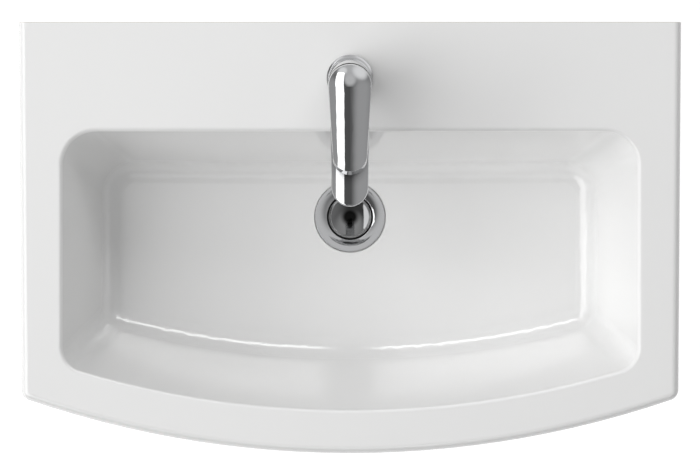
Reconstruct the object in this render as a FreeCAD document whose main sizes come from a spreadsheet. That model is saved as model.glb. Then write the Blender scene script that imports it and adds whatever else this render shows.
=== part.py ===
import FreeCAD, Part
import math
import os
import types

import Sketcher

# A wall-hung hand basin with a single-lever mixer tap and a push-open waste.
# Millimetres. The origin is on the wall plane, midway between the two wall fixings; +Z is up and the
# basin reaches out from the wall towards -Y.

SIZES = [
    # basin
    ("basin_width", 600, "side to side at the wall"),
    ("basin_depth", 390, "wall to the front of the bow"),
    ("front_radius", 900, "bow of the front edge"),
    ("side_taper", 2.5, "how far each side draws in towards the front"),
    ("corner_radius", 10, "front corners in plan"),
    ("edge_radius", 7, "rounded top edge"),
    ("apron_height", 60, "deck to the lower edge of the apron"),
    ("apron_wall", 10, "thickness of the apron"),
    ("deck_thickness", 13, "thickness of the deck"),
    ("deck_rise", 70, "deck above the wall fixings"),
    ("rear_wall", 14, "thickness of the wall that the fixings pass"),
    ("bracket_width", 430, "width of the rear wall below the deck"),
    ("bracket_web", 12, "side webs of the rear wall"),
    ("bracket_drop", 115, "deck to the lower edge of the rear wall"),
    ("fixing_spacing", 280, "between the wall fixings"),
    ("fixing_hole", 14, "diameter of each wall fixing"),
    # bowl
    ("rear_ledge", 98, "wall to the rear edge of the bowl"),
    ("side_ledge", 39.5, "rim beside the bowl"),
    ("front_ledge", 39, "rim in front of the bowl"),
    ("bowl_depth", 112, "deck to the floor at the waste"),
    ("rear_lean", 14.4, "degrees, rear wall of the bowl"),
    ("side_lean", 15.7, "degrees, side walls of the bowl"),
    ("front_lean", 22.8, "degrees, front wall of the bowl"),
    ("bowl_rear_round", 32, "rear corners of the bowl"),
    ("bowl_front_round", 24, "front corners of the bowl"),
    ("floor_round", 22, "hollow between wall and floor"),
    ("floor_dish", 6500, "radius of the floor, which falls to the waste"),
    ("rim_round", 4, "rounded rim of the bowl"),
    ("bowl_wall", 10, "thickness of the bowl's walls"),
    ("floor_thickness", 12, "thickness of the bowl's floor"),
    # overflow
    ("overflow_drop", 40, "deck to the middle of the overflow mouth"),
    ("overflow_hole", 22, "diameter of the overflow mouth"),
    ("duct_depth", 12, "overflow way, front to back"),
    ("duct_width", 32, "overflow way, side to side"),
    ("duct_wall", 7, "casing of the overflow way"),
    ("duct_headroom", 2, "overflow way above the mouth"),
    ("ring_lip", 3.5, "width of the overflow ring's lip"),
    ("ring_lip_height", 1.6, "lip of the overflow ring above the wall"),
    ("ring_wall", 1.2, "sleeve of the overflow ring"),
    ("ring_sleeve", 7, "length of the overflow ring's sleeve"),
    # waste
    ("waste_setback", 175, "wall to the middle of the waste"),
    ("flange_radius", 33.2, "flange of the waste"),
    ("flange_edge", 2.2, "thickness of the flange at its edge"),
    ("flange_crown", 40, "radius of the flange's rounded top"),
    ("flange_dip", 1.2, "inner edge of the flange below its outer edge"),
    ("flange_recess", 3, "recess in the floor for the flange"),
    ("recess_gap", 1, "round the flange in its recess"),
    ("waste_hole", 46, "diameter of the hole in the china"),
    ("seat_cone", 5, "width of the cone at the top of the hole"),
    ("seat_cone_depth", 7, "depth of the cone at the top of the hole"),
    ("seat_depth", 11, "china between the recess and the overflow chamber"),
    ("chamber_radius", 31, "overflow chamber round the waste"),
    ("chamber_height", 20, "overflow chamber, top to bottom"),
    ("boss_wall", 9, "china round the overflow chamber"),
    ("boss_floor", 14, "china below the overflow chamber"),
    ("tube_radius", 20.95, "threaded tube of the waste"),
    ("tube_bore", 17.5, "inside of the tube"),
    ("tail_length", 28, "tube below the nut"),
    ("runout_width", 2, "groove between nut and tail"),
    ("runout_depth", 0.8, "groove between nut and tail"),
    ("slot_width", 9, "overflow slots in the tube"),
    ("slot_margin", 3, "chamber above and below the slots"),
    ("top_seal_height", 1.2, "foam ring under the flange"),
    ("lower_seal_height", 7, "rubber ring below the china"),
    ("lower_seal_radius", 29, "rubber ring below the china"),
    ("washer_height", 2, "slip washer"),
    ("nut_height", 10, "back nut"),
    ("nut_flats", 54, "back nut across its flats"),
    ("thread_gap", 0.1, "round threads that are drawn plain"),
    # push plug
    ("dish_inner", 17.9, "inner edge of the flange's dish"),
    ("dish_rim", 22.1, "outer edge of the flange's dish"),
    ("dish_fall", 4, "fall of the dish to the plug"),
    ("plug_radius", 20.2, "plug"),
    ("plug_edge", 4, "thickness of the plug at its edge"),
    ("plug_dish", 2.6, "depth of the plug's dished top"),
    ("plug_travel", 8, "closed to open"),
    ("plug_clearance", 1.2, "plug above the dish when closed"),
    ("plug_seal_width", 4.2, "seal under the plug"),
    ("plug_seal_height", 2, "seal under the plug"),
    ("plug_boss_radius", 6.5, "boss under the plug"),
    ("plug_boss_height", 6, "boss under the plug"),
    ("plunger_radius", 4, "sliding rod"),
    ("plunger_length", 38, "sliding rod below the plug's boss"),
    ("plunger_stub", 2.8, "radius of the rod's end in the plug"),
    ("stub_length", 5, "rod inside the plug"),
    ("slide_gap", 0.08, "rod in its housing"),
    ("housing_radius", 6.2, "housing of the push catch"),
    ("housing_top_gap", 2.5, "plug's boss above the housing when closed"),
    ("housing_floor", 2, "end of the housing"),
    ("spring_length", 10, "spring with the plug closed"),
    ("spring_wire", 0.9, "wire of the spring"),
    ("spring_gap", 0.3, "spring in its housing"),
    ("hub_radius", 9.5, "hub that holds the housing"),
    ("hub_height", 10, "hub and cross bars"),
    ("hub_drop", 40, "floor to the top of the hub"),
    ("bar_width", 4, "cross bars"),
    # tap
    ("tap_setback", 51, "wall to the middle of the tap hole"),
    ("tap_hole", 35, "diameter of the hole in the deck"),
    ("tap_lean", 8, "degrees, barrel towards the front"),
    ("pivot_height", 84, "deck to the lever's pivot, along the barrel"),
    ("barrel_radius", 19, "barrel of the tap"),
    ("barrel_drop", 4, "pivot to the top of the barrel"),
    ("ring_radius", 21, "base ring"),
    ("ring_height", 4, "base ring"),
    ("ring_bevel", 1.8, "width of the base ring's sloped edge"),
    ("ring_fall", 1.1, "fall of the base ring's sloped edge"),
    ("base_seal_height", 1, "rubber ring on the deck"),
    ("base_seal_width", 2.4, "rubber ring on the deck"),
    ("spigot_radius", 16.5, "spigot in the tap hole"),
    ("spigot_drop", 6, "deck to the end of the spigot"),
    ("fit_gap", 0.2, "between pieces that slip together"),
    ("spout_root", 17.7, "half width of the spout at the barrel"),
    ("spout_tip", 16.2, "half width of the spout at its rounded end"),
    ("spout_reach", 106.8, "barrel axis to the spout's end"),
    ("spout_nose", 16.5, "length of the rounded end"),
    ("nose_radius", 14.6, "end of the rounded end"),
    ("spout_crown", 26, "radius of the arched top"),
    ("spout_step", 0.8, "top of the barrel down to the arched top"),
    ("spout_drop", 41.18, "pivot to the underside of the spout, straight down"),
    ("spout_edge", 1.6, "rounded edge of the spout's end"),
    ("spout_belly", 2, "bevelled lower edges of the spout"),
    ("water_bore", 4.5, "radius of the way through the spout"),
    ("water_rise", 13, "underside of the spout to the way through it"),
    # aerator
    ("aerator_back", 12, "spout's end to the aerator"),
    ("aerator_room", 1.2, "chamber above the way through the spout"),
    ("aerator_radius", 12, "threaded housing"),
    ("aerator_wall", 1.8, "wall of the housing"),
    ("aerator_lip", 1, "lip under the spout"),
    ("lip_height", 1.4, "lip under the spout"),
    ("aerator_height", 8, "housing inside the spout"),
    ("aerator_ledge", 1.2, "inner ledge that carries the insert"),
    ("insert_height", 6, "honeycomb insert"),
    ("cell_radius", 1.15, "holes of the insert"),
    ("cell_pitch", 2.9, "between the holes of the insert"),
    ("aerator_seal_height", 2, "seal above the housing"),
    ("aerator_seal_width", 3.6, "seal above the housing"),
    # fixing under the deck
    ("stud_radius", 4, "threaded stud"),
    ("stud_forward", 9, "stud in front of the tap's axis"),
    ("stud_hold", 13, "stud inside the tap"),
    ("stud_tail", 12, "stud below its nut"),
    ("clamp_radius", 22, "horseshoe clamp"),
    ("clamp_slot", 28, "width of the clamp's slot"),
    ("slot_front", 2, "front end of the slot from the tap's axis"),
    ("rubber_height", 3, "rubber under the deck"),
    ("plate_height", 2.5, "steel plate"),
    ("clamp_nut_height", 14, "long nut"),
    ("clamp_nut_flats", 13, "long nut across its flats"),
    ("inlet_radius", 4.5, "hose sockets"),
    ("inlet_depth", 14, "hose sockets"),
    ("inlet_spread", 8.5, "hose sockets from the middle"),
    ("inlet_back", 4, "hose sockets behind the tap's axis"),
    # cartridge, measured along the barrel from the pivot
    ("bore_radius", 14.2, "bore for the cartridge"),
    ("thread_radius", 15.1, "wider bore for nut and dome"),
    ("shoulder_drop", 11, "pivot to the cartridge's shoulder"),
    ("nut_rise", 4, "height of the cartridge nut"),
    ("notch_width", 4, "notches of the cartridge nut"),
    ("notch_depth", 1.5, "notches of the cartridge nut"),
    ("shell_radius", 14, "cartridge housing"),
    ("shell_wall", 2, "cartridge housing"),
    ("shell_roof", 2.5, "cartridge housing"),
    ("neck_radius", 9, "neck of the cartridge housing"),
    ("neck_rise", 1.5, "pivot to the top of the neck"),
    ("rotor_radius", 7, "rotor in the neck"),
    ("rotor_rise", 4, "pivot to the top of the rotor"),
    ("rotor_flange", 3.4, "flange of the rotor"),
    ("run_gap", 0.1, "between faces that turn on each other"),
    ("pin_radius", 1.25, "pivot pin"),
    ("pin_gap", 0.05, "stem on the pivot pin"),
    ("stem_lean", 10, "degrees, stem tips forward when closed"),
    ("stem_arm", 18.6, "pivot to the ball in the carrier"),
    ("stem_radius", 3, "stem at the pivot"),
    ("stem_square", 7, "square that carries the lever"),
    ("stem_top", 15.5, "pivot to the top of the stem"),
    ("square_start", 6, "pivot to the start of the square"),
    ("shank_radius", 2.1, "stem below the pivot"),
    ("shank_start", 6, "pivot to the thin part of the stem"),
    ("ball_radius", 2.4, "ball of the stem"),
    ("socket_gap", 0.15, "ball in the carrier"),
    ("swing_gap", 0.35, "stem in the rotor's slot"),
    ("carrier_height", 4.2, "carrier of the moving disc"),
    ("disc_radius", 8.5, "moving disc and its carrier"),
    ("moving_height", 3, "moving disc"),
    ("fixed_height", 3.5, "fixed disc"),
    ("fixed_radius", 11.8, "fixed disc"),
    ("base_height", 6, "cartridge base"),
    ("gasket_height", 1.5, "gasket under the cartridge"),
    ("port_radius", 2.6, "inlet ports"),
    ("port_spread", 5.6, "inlet ports from the middle"),
    ("port_back", 3.2, "inlet ports behind the middle"),
    ("outlet_radius", 3, "outlet port"),
    ("outlet_forward", 6, "outlet port in front of the middle"),
    ("mix_radius", 6.8, "mixing hollow under the moving disc"),
    ("mix_depth", 1.5, "mixing hollow under the moving disc"),
    # dome and lever, round the pivot
    ("dome_radius", 15.4, "dome under the lever"),
    ("dome_wall", 1.4, "dome under the lever, at its top"),
    ("dome_rise", 5, "pivot to the top of the dome"),
    ("lever_radius", 19, "round rear of the lever, at its lower edge"),
    ("lever_tip_radius", 15.2, "round front of the lever, at its lower edge"),
    ("lever_reach", 79.5, "pivot to the front of the lever, at its lower edge"),
    ("lever_draft", 0.85, "how far the lever's sides draw in towards its top"),
    ("lever_nose_draft", 7, "how far the lever's front leans back towards its top"),
    ("lever_rise", 18.5, "pivot to the top of the lever"),
    ("lever_crown", 26.2, "radius of the arched top at the pivot"),
    ("lever_tip_crown", 23.6, "radius of the arched top at the front"),
    ("lever_wall", 2.5, "wall of the lever"),
    ("lever_drop", 2.5, "pivot to the lever's lower edge"),
    ("lever_tip_lift", 4, "how far the lower edge rises towards the front"),
    ("lever_lift", 20, "degrees that the lever lifts"),
    ("lever_spare", 1.5, "degrees of room behind the lifted lever"),
    ("hub_boss", 6.5, "radius of the lever's hub"),
    ("hub_start", 6.2, "pivot to the lower end of the hub"),
    ("hub_end", 17, "pivot to the upper end of the hub"),
    ("screw_radius", 2.5, "lever screw"),
    ("screw_length", 8, "lever screw"),
    ("screw_rise", 11.5, "pivot to the lever screw, along the stem"),
    ("screw_boss", 4, "boss round the lever screw"),
    ("screw_key", 1.25, "key socket of the lever screw"),
    ("screw_key_depth", 3, "key socket of the lever screw"),
]

V = FreeCAD.Vector
SIDEWAYS = V(1, 0, 0)

doc = FreeCAD.newDocument("hand_basin")
sheet = doc.addObject("Spreadsheet::Sheet", "sizes")
pieces = []


class Size:
    """A number together with the sheet expression that it comes from."""

    def __init__(self, value, text):
        self.value = value
        self.text = text

    def __add__(self, other):
        return joined(self, "+", other, lambda a, b: a + b)

    def __radd__(self, other):
        return as_size(other) + self

    def __sub__(self, other):
        return joined(self, "-", other, lambda a, b: a - b)

    def __rsub__(self, other):
        return as_size(other) - self

    def __mul__(self, other):
        return joined(self, "*", other, lambda a, b: a * b)

    def __rmul__(self, other):
        return as_size(other) * self

    def __truediv__(self, other):
        return joined(self, "/", other, lambda a, b: a / b)

    def __neg__(self):
        return 0 - self


def as_size(number):
    if isinstance(number, Size):
        return number
    return Size(float(number), "(%r)" % float(number))


def joined(left, sign, right, work):
    right = as_size(right)
    return Size(work(left.value, right.value), "(%s %s %s)" % (left.text, sign, right.text))


def sine(angle):
    return Size(math.sin(math.radians(angle.value)), "sin(%s)" % angle.text)


def cosine(angle):
    return Size(math.cos(math.radians(angle.value)), "cos(%s)" % angle.text)


def tangent(angle):
    return Size(math.tan(math.radians(angle.value)), "tan(%s)" % angle.text)


def root(number):
    return Size(math.sqrt(number.value), "sqrt(%s)" % number.text)


def leg(long_side, other):
    """The second short side of a right triangle."""
    return root(long_side * long_side - other * other)


def fill_sheet():
    named = {}
    for row, (alias, value, note) in enumerate(SIZES, 1):
        sheet.set("A%d" % row, alias)
        sheet.set("B%d" % row, str(value))
        sheet.set("C%d" % row, note)
        sheet.setAlias("B%d" % row, alias)
        named[alias] = Size(float(value), "sizes." + alias)
    doc.recompute()
    return types.SimpleNamespace(**named)


dim = fill_sheet()

# Levels and places that several pieces share
DECK = dim.deck_rise
FLOOR = DECK - dim.bowl_depth
SEAT = FLOOR - dim.flange_recess
CHAMBER_TOP = SEAT - dim.seat_depth
CHAMBER_BOTTOM = CHAMBER_TOP - dim.chamber_height
BOSS_BOTTOM = CHAMBER_BOTTOM - dim.boss_floor
FLANGE_UNDER = SEAT + dim.top_seal_height
TAP_Y = -dim.tap_setback
WASTE_Y = -dim.waste_setback
BASE_TOP = dim.base_seal_height + dim.ring_height
SPOUT_UNDER = dim.pivot_height * cosine(dim.tap_lean) - dim.spout_drop
AERATOR_REACH = dim.spout_reach - dim.aerator_back
PIVOT_Y = TAP_Y - dim.pivot_height * sine(dim.tap_lean)
PIVOT_Z = DECK + dim.pivot_height * cosine(dim.tap_lean)


def bind(item, name, number):
    item.setExpression(name, as_size(number).text)


def new_body(label):
    body = doc.addObject("PartDesign::Body", label)
    body.Label = label
    return body


def new_piece(label):
    body = new_body(label)
    pieces.append(body)
    return body


def place(body, y=0, z=0, turn=None):
    """Sets a body on the centre plane, tipped towards the front by turn degrees."""
    if turn is not None:
        body.Placement = FreeCAD.Placement(V(), FreeCAD.Rotation(SIDEWAYS, turn.value))
        bind(body, "Placement.Rotation.Angle", turn)
    bind(body, "Placement.Base.y", y)
    bind(body, "Placement.Base.z", z)


def place_at_pivot(body, extra=None):
    """Sets a body at the lever's pivot, along the leaning barrel."""
    turn = dim.tap_lean if extra is None else dim.tap_lean + extra
    place(body, PIVOT_Y, PIVOT_Z, turn)


def new_sketch(body, name, plane, z=0, y=None, turn=None):
    """A sketch on a plane of the body, moved along its normal by z and tipped about its own X by turn."""
    sketch = body.newObject("Sketcher::SketchObject", name)
    support = [item for item in body.Origin.OriginFeatures if item.Role == plane]
    sketch.AttachmentSupport = [(support[0], "")]
    sketch.MapMode = "FlatFace"
    if turn is not None:
        axis = SIDEWAYS if turn.value > 0 else -SIDEWAYS
        angle = turn if turn.value > 0 else -turn
        sketch.AttachmentOffset = FreeCAD.Placement(V(), FreeCAD.Rotation(axis, angle.value))
        bind(sketch, "AttachmentOffset.Rotation.Angle", angle)
    if y is not None:
        bind(sketch, "AttachmentOffset.Base.y", y)
    bind(sketch, "AttachmentOffset.Base.z", z)
    return sketch


def upright_sketch(body, name, height):
    """A level sketch at a height above the deck, in a body that leans with the barrel."""
    y = height * sine(dim.tap_lean)
    z = height * cosine(dim.tap_lean) - dim.pivot_height
    return new_sketch(body, name, "XY_Plane", z, y, -dim.tap_lean)


def pin(sketch, geometry, spot, point):
    for kind, coordinate in zip(("DistanceX", "DistanceY"), point):
        number = as_size(coordinate)
        index = sketch.addConstraint(Sketcher.Constraint(kind, geometry, spot, number.value))
        sketch.setExpression("Constraints[%d]" % index, number.text)


def set_radius(sketch, geometry, radius):
    index = sketch.addConstraint(Sketcher.Constraint("Radius", geometry, radius.value))
    sketch.setExpression("Constraints[%d]" % index, radius.text)


def add_arc(sketch, start, finish, radius):
    """An arc between two points: its centre is on the left for a positive radius, else on the right."""
    chord = finish - start
    left = V(-chord.y, chord.x, 0).normalize()
    reach = math.sqrt(max(radius.value ** 2 - (chord.Length / 2) ** 2, 0))
    centre = start + chord / 2 + left * math.copysign(reach, radius.value)
    first, last = (start, finish) if radius.value > 0 else (finish, start)
    angles = [math.atan2(end.y - centre.y, end.x - centre.x) for end in (first, last)]
    circle = Part.Circle(centre, V(0, 0, 1), abs(radius.value))
    geometry = sketch.addGeometry(Part.ArcOfCircle(circle, *angles))
    set_radius(sketch, geometry, radius if radius.value > 0 else -radius)
    return (geometry, 1, 2) if radius.value > 0 else (geometry, 2, 1)


def outline(sketch, points, arcs=None):
    """A closed outline through points; arcs gives the radius of the edges that are round."""
    arcs = arcs or {}
    spots = [V(as_size(x).value, as_size(y).value, 0) for x, y in points]
    edges = []
    for index, start in enumerate(spots):
        finish = spots[(index + 1) % len(spots)]
        if index in arcs:
            edges.append(add_arc(sketch, start, finish, as_size(arcs[index])))
        else:
            edges.append((sketch.addGeometry(Part.LineSegment(start, finish)), 1, 2))
    for index, (geometry, head, tail) in enumerate(edges):
        following = edges[(index + 1) % len(edges)]
        sketch.addConstraint(Sketcher.Constraint("Coincident", geometry, tail, following[0], following[1]))
        pin(sketch, geometry, head, points[index])
    return sketch


def circle(sketch, radius, x=0, y=0):
    radius = as_size(radius)
    centre = V(as_size(x).value, as_size(y).value, 0)
    geometry = sketch.addGeometry(Part.Circle(centre, V(0, 0, 1), radius.value))
    set_radius(sketch, geometry, radius)
    pin(sketch, geometry, 3, (x, y))
    return sketch


def rectangle(sketch, left, bottom, right, top):
    return outline(sketch, [(left, bottom), (right, bottom), (right, top), (left, top)])


def hexagon(sketch, flats, x=0, y=0):
    """A hexagon across its flats."""
    side = flats / (2 * math.sqrt(3))
    corners = [(1, flats / 2), (2, 0), (1, -flats / 2), (-1, -flats / 2), (-2, 0), (-1, flats / 2)]
    return outline(sketch, [(x + side * across, y + up) for across, up in corners])


def extrude(body, kind, sketch, length, backward=False, both=False):
    item = body.newObject("PartDesign::" + kind, sketch.Name + "_" + kind.lower())
    item.Profile = sketch
    item.Reversed = backward
    if both:
        item.SideType = "Symmetric"
    bind(item, "Length", length)
    return item


def pad(body, sketch, length, backward=False, both=False):
    return extrude(body, "Pad", sketch, length, backward, both)


def pocket(body, sketch, length, backward=False, both=False):
    """Cuts against the sketch's normal, or along it when backward."""
    return extrude(body, "Pocket", sketch, length, backward, both)


def revolve(body, name, points, arcs=None, kind="Revolution"):
    """Turns a profile of (radius, height) points round the body's Z axis."""
    sketch = outline(new_sketch(body, name, "XZ_Plane"), points, arcs)
    return turn_sketch(body, sketch, "V_Axis", kind)


def turn_sketch(body, sketch, axis, kind):
    item = body.newObject("PartDesign::" + kind, sketch.Name + "_turned")
    item.Profile = sketch
    item.ReferenceAxis = (sketch, [axis])
    return item


def ring(label, inner, outer, bottom, top):
    """A plain turned ring."""
    body = new_piece(label)
    revolve(body, label + "_section", [(inner, bottom), (outer, bottom), (outer, top), (inner, top)])
    return body


def combine(body, kind, others):
    item = body.newObject("PartDesign::Boolean", body.Name + "_" + kind.lower())
    item.Type = kind
    item.setObjects(others)
    return item


def soften(body, kind, size, wanted):
    """Fillets or chamfers the edges of the body's last feature that wanted picks."""
    doc.recompute()
    base = body.Tip
    edges = enumerate(base.Shape.Edges, 1)
    names = ["Edge%d" % number for number, edge in edges if wanted(base.Shape, edge)]
    item = body.newObject("PartDesign::" + kind, body.Name + "_" + kind.lower())
    item.Base = (base, names)
    bind(item, "Radius" if kind == "Fillet" else "Size", size)
    doc.recompute()
    return item


def middle(edge):
    return edge.valueAt((edge.FirstParameter + edge.LastParameter) / 2)


# Basin

def plan_outline(sketch, rear, rear_half, front_half, apex, bow, rear_round, front_round):
    """The basin's family of outlines: straight rear, sides that draw in, bowed front, round corners.

    The sides run between the rear corner and the point where they would meet the bow. With no rear
    round the rear corners stay sharp.
    """
    centre = V(0, apex.value + bow.value, 0)
    front_corner = apex + bow - leg(bow, front_half)
    halves = {}
    for side in (1, -1):
        start = V(side * rear_half.value, rear.value, 0)
        finish = V(side * front_half.value, front_corner.value, 0)
        along = (finish - start).normalize()
        inward = V(along.y, -along.x, 0) * side
        arm = start + inward * front_round.value - centre
        reach = bow.value - front_round.value
        fall = -arm.dot(along) + math.sqrt(arm.dot(along) ** 2 - arm.dot(arm) + reach ** 2)
        hollow = start + inward * front_round.value + along * fall
        points = {"side_end": hollow - inward * front_round.value, "front_hollow": hollow}
        points["bow_end"] = centre + (hollow - centre) * (bow.value / reach)
        points["side_start"] = start
        points["rear_end"] = start
        if rear_round is not None:
            size = rear_round.value
            drop = rear.value - size
            across = start.x + (size - (drop - start.y) * inward.y) / inward.x
            points["rear_hollow"] = V(across, drop, 0)
            points["rear_end"] = V(across, rear.value, 0)
            points["side_start"] = points["rear_hollow"] - inward * size
        halves[side] = points
    right, left = halves[1], halves[-1]

    def line(start, finish):
        return sketch.addGeometry(Part.LineSegment(start, finish))

    def arc(hollow, radius, start, finish):
        angles = [math.atan2(end.y - hollow.y, end.x - hollow.x) for end in (start, finish)]
        round_edge = Part.Circle(hollow, V(0, 0, 1), radius.value)
        geometry = sketch.addGeometry(Part.ArcOfCircle(round_edge, *angles))
        set_radius(sketch, geometry, radius)
        return geometry

    rear_edge = line(right["rear_end"], left["rear_end"])
    edges = [rear_edge]
    if rear_round is not None:
        edges.append(arc(left["rear_hollow"], rear_round, left["rear_end"], left["side_start"]))
    left_edge = line(left["side_start"], left["side_end"])
    edges.append(left_edge)
    edges.append(arc(left["front_hollow"], front_round, left["side_end"], left["bow_end"]))
    bow_edge = arc(centre, bow, left["bow_end"], right["bow_end"])
    edges.append(bow_edge)
    edges.append(arc(right["front_hollow"], front_round, right["bow_end"], right["side_end"]))
    right_edge = line(right["side_end"], right["side_start"])
    edges.append(right_edge)
    if rear_round is not None:
        edges.append(arc(right["rear_hollow"], rear_round, right["side_start"], right["rear_end"]))

    for geometry, following in zip(edges, edges[1:] + edges[:1]):
        sharp = rear_round is None and rear_edge in (geometry, following)
        kind = "Coincident" if sharp else "Tangent"
        sketch.addConstraint(Sketcher.Constraint(kind, geometry, 2, following, 1))
    sketch.addConstraint(Sketcher.Constraint("Horizontal", rear_edge))
    index = sketch.addConstraint(Sketcher.Constraint("DistanceY", rear_edge, 1, rear.value))
    sketch.setExpression("Constraints[%d]" % index, rear.text)
    pin(sketch, bow_edge, 3, (0, apex + bow))
    for side, edge in ((1, right_edge), (-1, left_edge)):
        for half, level in ((rear_half, rear), (front_half, front_corner)):
            spot = sketch.addGeometry(Part.Point(V(side * half.value, level.value, 0)), True)
            pin(sketch, spot, 1, (side * half, level))
            sketch.addConstraint(Sketcher.Constraint("PointOnObject", spot, 1, edge))
    return sketch


def deck_outline(sketch, inset, rear, rear_round, front_round):
    """The basin's outer outline, drawn in by inset at the sides and the front."""
    half = dim.basin_width / 2 - inset
    return plan_outline(sketch, rear, half, half - dim.side_taper, inset - dim.basin_depth,
                        dim.front_radius - inset, rear_round, front_round)


def bowl_form(label, grow, depth):
    """The bowl as a flat-bottomed solid: its hollow, or with grow the outside of its walls and floor."""
    body = new_body(label)
    bottom = DECK - depth
    half = dim.basin_width / 2 - dim.side_ledge + grow
    low_half = half - depth * tangent(dim.side_lean)
    rear = grow - dim.rear_ledge
    across = new_sketch(body, label + "_across", "XZ_Plane", -rear)
    outline(across, [(-low_half, bottom), (low_half, bottom), (half, DECK), (-half, DECK)])
    pad(body, across, dim.basin_depth - dim.rear_ledge)

    behind = new_sketch(body, label + "_behind", "YZ_Plane")
    outline(behind, [(rear, DECK), (rear - depth * tangent(dim.rear_lean), bottom),
                     (rear + dim.rear_ledge, bottom), (rear + dim.rear_ledge, DECK)])
    pocket(body, behind, 2 * dim.basin_width, both=True)

    bow = dim.front_radius - dim.front_ledge + grow
    before = new_sketch(body, label + "_before", "XZ_Plane", dim.basin_depth - dim.front_radius)
    outline(before, [(bow, DECK), (bow - depth * tangent(dim.front_lean), bottom),
                     (bow + dim.basin_depth, bottom), (bow + dim.basin_depth, DECK)])
    turn_sketch(body, before, "V_Axis", "Groove")

    round_corners(body, dim.bowl_rear_round + grow, 1, bottom)
    round_corners(body, dim.bowl_front_round + grow, -1, bottom)
    return body


def round_corners(body, radius, side, bottom):
    """Rounds the bowl's corners behind the waste (side 1) or in front of it (side -1)."""
    def wanted(shape, edge):
        levels = sorted(vertex.Z for vertex in edge.Vertexes)
        tall = levels[0] < bottom.value + 1 and levels[-1] > DECK.value - 1
        return tall and (middle(edge).y - WASTE_Y.value) * side > 0

    soften(body, "Fillet", radius, wanted)


def bowl_hollow():
    """The inside of the bowl, with a floor that is dished about the waste."""
    body = bowl_form("bowl_hollow", as_size(0), dim.bowl_depth + dim.floor_thickness / 2)
    reach = dim.basin_width
    under = FLOOR - dim.floor_thickness
    rise = dim.floor_dish - leg(dim.floor_dish, reach)
    sketch = new_sketch(body, "floor_dish", "XZ_Plane", dim.waste_setback)
    outline(sketch, [(0, under), (reach, under), (reach, FLOOR + rise), (0, FLOOR)], {2: -dim.floor_dish})
    turn_sketch(body, sketch, "V_Axis", "Groove")
    soften(body, "Fillet", dim.floor_round, joins_lowest_face)
    return body


def bowl_shell():
    """The outside of the bowl's walls and floor."""
    body = bowl_form("bowl_shell", dim.bowl_wall, dim.bowl_depth + dim.floor_thickness)
    soften(body, "Fillet", dim.floor_round + dim.bowl_wall, joins_lowest_face)
    return body


def joins_lowest_face(shape, edge):
    lowest = min(shape.Faces, key=lambda face: face.CenterOfMass.z)
    sides = shape.ancestorsOfType(edge, Part.Face)
    return len(sides) == 2 and any(side.isSame(lowest) for side in sides)


def wall_at(level):
    """The bowl's rear wall, on the inside, at a level."""
    return -dim.rear_ledge - (DECK - level) * tangent(dim.rear_lean)


DUCT_TOP = DECK - dim.overflow_drop + dim.overflow_hole / 2 + dim.duct_headroom


def duct_points(wall):
    """The overflow way seen from the side, from behind the bowl down to the chamber; wall thickens it."""
    top = DUCT_TOP + wall
    heel = CHAMBER_BOTTOM + dim.duct_depth / 2
    back = dim.bowl_wall + dim.duct_depth + wall
    inner = dim.bowl_wall if wall == 0 else dim.bowl_wall / 2
    return [
        (wall_at(DUCT_TOP) + inner, top),
        (wall_at(DUCT_TOP) + back, top),
        (wall_at(heel) + back, heel),
        (WASTE_Y + dim.chamber_radius, CHAMBER_BOTTOM - wall),
        (WASTE_Y + dim.tube_radius, CHAMBER_BOTTOM - wall),
        (WASTE_Y + dim.tube_radius, CHAMBER_TOP),
        (wall_at(CHAMBER_TOP) + inner, CHAMBER_TOP),
    ]


def overflow_form(label, wall):
    body = new_body(label)
    sketch = outline(new_sketch(body, label + "_side", "YZ_Plane"), duct_points(wall))
    pad(body, sketch, dim.duct_width + 2 * wall, both=True)
    return body


def waste_boss():
    body = new_body("waste_boss")
    outer = dim.chamber_radius + dim.boss_wall
    revolve(body, "boss_section", [(0, BOSS_BOTTOM), (outer, BOSS_BOTTOM), (outer, SEAT), (0, SEAT)])
    place(body, WASTE_Y)
    return body


def waste_hollow():
    body = new_body("waste_hollow")
    recess = dim.flange_radius + dim.recess_gap
    hole = dim.waste_hole / 2
    over = FLOOR + dim.floor_thickness
    under = BOSS_BOTTOM - dim.floor_thickness
    revolve(body, "hollow_section", [
        (0, under), (hole, under), (hole, CHAMBER_BOTTOM), (dim.chamber_radius, CHAMBER_BOTTOM),
        (dim.chamber_radius, CHAMBER_TOP), (hole, CHAMBER_TOP), (hole, SEAT - dim.seat_cone_depth),
        (hole + dim.seat_cone, SEAT), (recess, SEAT), (recess, over), (0, over)])
    place(body, WASTE_Y)
    return body


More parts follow.
